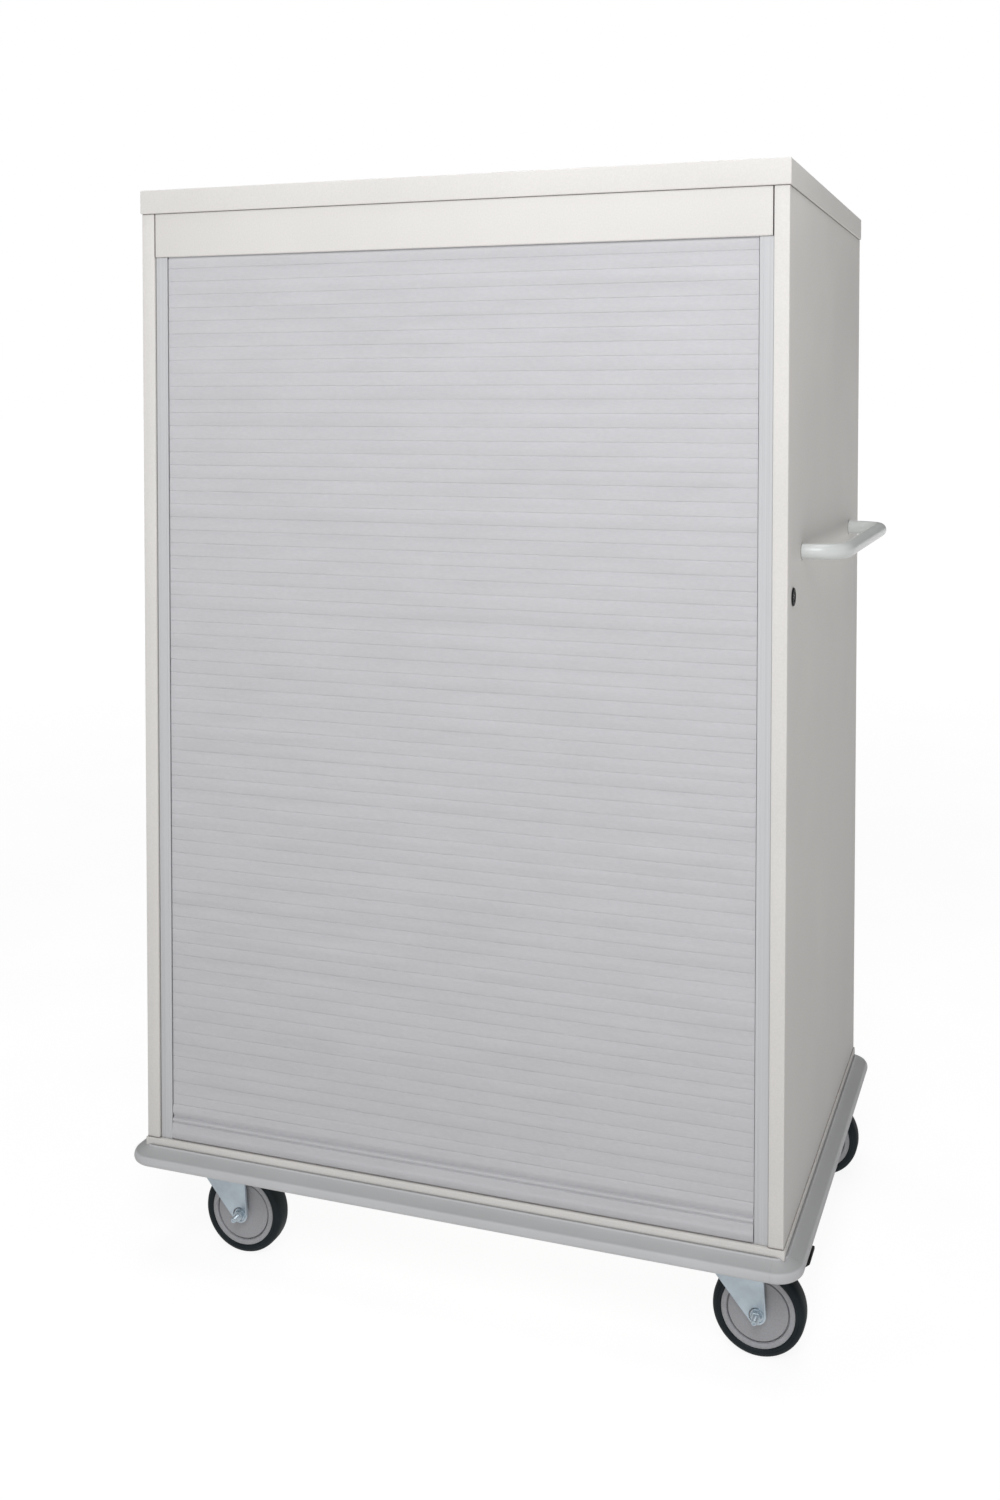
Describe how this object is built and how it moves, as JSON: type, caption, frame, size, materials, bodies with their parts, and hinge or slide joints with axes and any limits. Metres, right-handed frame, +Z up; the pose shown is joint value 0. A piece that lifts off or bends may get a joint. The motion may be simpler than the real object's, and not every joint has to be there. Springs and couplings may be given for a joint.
{
  "type": "housekeeping cart",
  "caption": "Closed housekeeping cart: a laminated cabinet with shelves behind a roller shutter, push handles, a bumper all round and swivel casters.",
  "frame": {"origin": "on the floor, under the centre of the cabinet", "axes": "+Z up, +X to the cart's right as seen from its front, -Y out of the shutter side"},
  "size_m": [1.072, 0.714, 1.576],
  "materials": {
    "white_board": "white melamine-faced chipboard, fine matt pearl grain",
    "shutter_grey": "light grey extruded slats, fine matt texture",
    "guide_grey": "light grey extrusion, smooth satin",
    "bumper_grey": "mid grey soft plastic profile, satin",
    "handle_grey": "light grey glossy moulding",
    "zinc_steel": "bright zinc plate with a bluish tint",
    "spring_steel": "oiled spring wire",
    "tyre_rubber": "near-black rubber",
    "wheel_grey": "mid grey moulded plastic",
    "black_plastic": "black moulded plastic, semi gloss",
    "bright_steel": "polished lock core"
  },
  "bodies": {
    "cabinet": {"base_board": "white_board", "top_panel": "white_board", "side_panel_left": "white_board", "side_panel_right": "white_board", "back_panel": "white_board", "shelf_lower": "white_board", "shelf_middle": "white_board", "shelf_upper": "white_board", "fascia": "white_board", "guide_left": "guide_grey", "guide_right": "guide_grey", "bumper_front": "bumper_grey", "bumper_rear": "bumper_grey", "bumper_left": "bumper_grey", "bumper_right": "bumper_grey", "bumper_corner_front_left": "bumper_grey", "bumper_corner_front_right": "bumper_grey", "bumper_corner_rear_left": "bumper_grey", "bumper_corner_rear_right": "bumper_grey", "handle_left": "handle_grey", "handle_right": "handle_grey", "roller_shaft": "zinc_steel", "roller_bracket_left": "zinc_steel", "roller_bracket_right": "zinc_steel", "caster_plate_front_left": "zinc_steel", "caster_plate_front_right": "zinc_steel", "caster_plate_rear_left": "zinc_steel", "caster_plate_rear_right": "zinc_steel", "balance_spring": "spring_steel", "lock_housing": "black_plastic"},
    "shutter": {"shutter_bar": "shutter_grey", "shutter_curtain": "shutter_grey"},
    "roller": {"roller_tube": "zinc_steel", "shutter_coil": "shutter_grey"},
    "lock_cylinder": {"lock_core": "bright_steel", "lock_cam": "zinc_steel"},
    "swivel_front_left": {"fork_front_left": "zinc_steel", "axle_bolt_front_left": "zinc_steel", "axle_nut_front_left": "zinc_steel"},
    "wheel_front_left": {"tyre_front_left": "tyre_rubber", "wheel_hub_front_left": "wheel_grey"},
    "swivel_front_right": {"fork_front_right": "zinc_steel", "axle_bolt_front_right": "zinc_steel", "axle_nut_front_right": "zinc_steel", "brake_pin_front_right": "zinc_steel"},
    "wheel_front_right": {"tyre_front_right": "tyre_rubber", "wheel_hub_front_right": "wheel_grey"},
    "brake_front_right": {"brake_pedal_front_right": "black_plastic"},
    "swivel_rear_left": {"fork_rear_left": "zinc_steel", "axle_bolt_rear_left": "zinc_steel", "axle_nut_rear_left": "zinc_steel", "brake_pin_rear_left": "zinc_steel"},
    "wheel_rear_left": {"tyre_rear_left": "tyre_rubber", "wheel_hub_rear_left": "wheel_grey"},
    "brake_rear_left": {"brake_pedal_rear_left": "black_plastic"},
    "swivel_rear_right": {"fork_rear_right": "zinc_steel", "axle_bolt_rear_right": "zinc_steel", "axle_nut_rear_right": "zinc_steel"},
    "wheel_rear_right": {"tyre_rear_right": "tyre_rubber", "wheel_hub_rear_right": "wheel_grey"}
  },
  "joints": [
    {"name": "shutter_lift", "type": "slide", "parent": "cabinet", "child": "shutter", "axis": [0, 0, 1], "range_m": [0, 1.24], "deforming": ["shutter_curtain"]},
    {"name": "roller_turn", "type": "hinge", "parent": "cabinet", "child": "roller", "pos_m": [0, -0.276, 1.478], "axis": [-1, 0, 0], "range_deg": [0, 1562]},
    {"name": "lock_turn", "type": "hinge", "parent": "cabinet", "child": "lock_cylinder", "pos_m": [0.472, -0.293, 1.019], "axis": [-1, 0, 0], "range_deg": [0, 90]},
    {"name": "swivel_turn_front_left", "type": "hinge", "parent": "cabinet", "child": "swivel_front_left", "pos_m": [-0.388, -0.258, 0.14], "axis": [0, 0, 1], "continuous": true},
    {"name": "wheel_spin_front_left", "type": "hinge", "parent": "swivel_front_left", "child": "wheel_front_left", "pos_m": [-0.348, -0.258, 0.0625], "axis": [0, 1, 0], "continuous": true},
    {"name": "swivel_turn_front_right", "type": "hinge", "parent": "cabinet", "child": "swivel_front_right", "pos_m": [0.388, -0.258, 0.14], "axis": [0, 0, 1], "continuous": true},
    {"name": "wheel_spin_front_right", "type": "hinge", "parent": "swivel_front_right", "child": "wheel_front_right", "pos_m": [0.428, -0.258, 0.0625], "axis": [0, 1, 0], "continuous": true},
    {"name": "brake_press_front_right", "type": "hinge", "parent": "swivel_front_right", "child": "brake_front_right", "pos_m": [0.433, -0.258, 0.1315], "axis": [0, 1, 0], "range_deg": [0, 13]},
    {"name": "swivel_turn_rear_left", "type": "hinge", "parent": "cabinet", "child": "swivel_rear_left", "pos_m": [-0.388, 0.258, 0.14], "axis": [0, 0, 1], "continuous": true},
    {"name": "wheel_spin_rear_left", "type": "hinge", "parent": "swivel_rear_left", "child": "wheel_rear_left", "pos_m": [-0.348, 0.258, 0.0625], "axis": [0, 1, 0], "continuous": true},
    {"name": "brake_press_rear_left", "type": "hinge", "parent": "swivel_rear_left", "child": "brake_rear_left", "pos_m": [-0.343, 0.258, 0.1315], "axis": [0, 1, 0], "range_deg": [0, 13]},
    {"name": "swivel_turn_rear_right", "type": "hinge", "parent": "cabinet", "child": "swivel_rear_right", "pos_m": [0.388, 0.258, 0.14], "axis": [0, 0, 1], "continuous": true},
    {"name": "wheel_spin_rear_right", "type": "hinge", "parent": "swivel_rear_right", "child": "wheel_rear_right", "pos_m": [0.428, 0.258, 0.0625], "axis": [0, 1, 0], "continuous": true}
  ],
  "couplings": [
    {"joint": "roller_turn", "follows": "shutter_lift", "rad_per_m": 21.978}
  ]
}
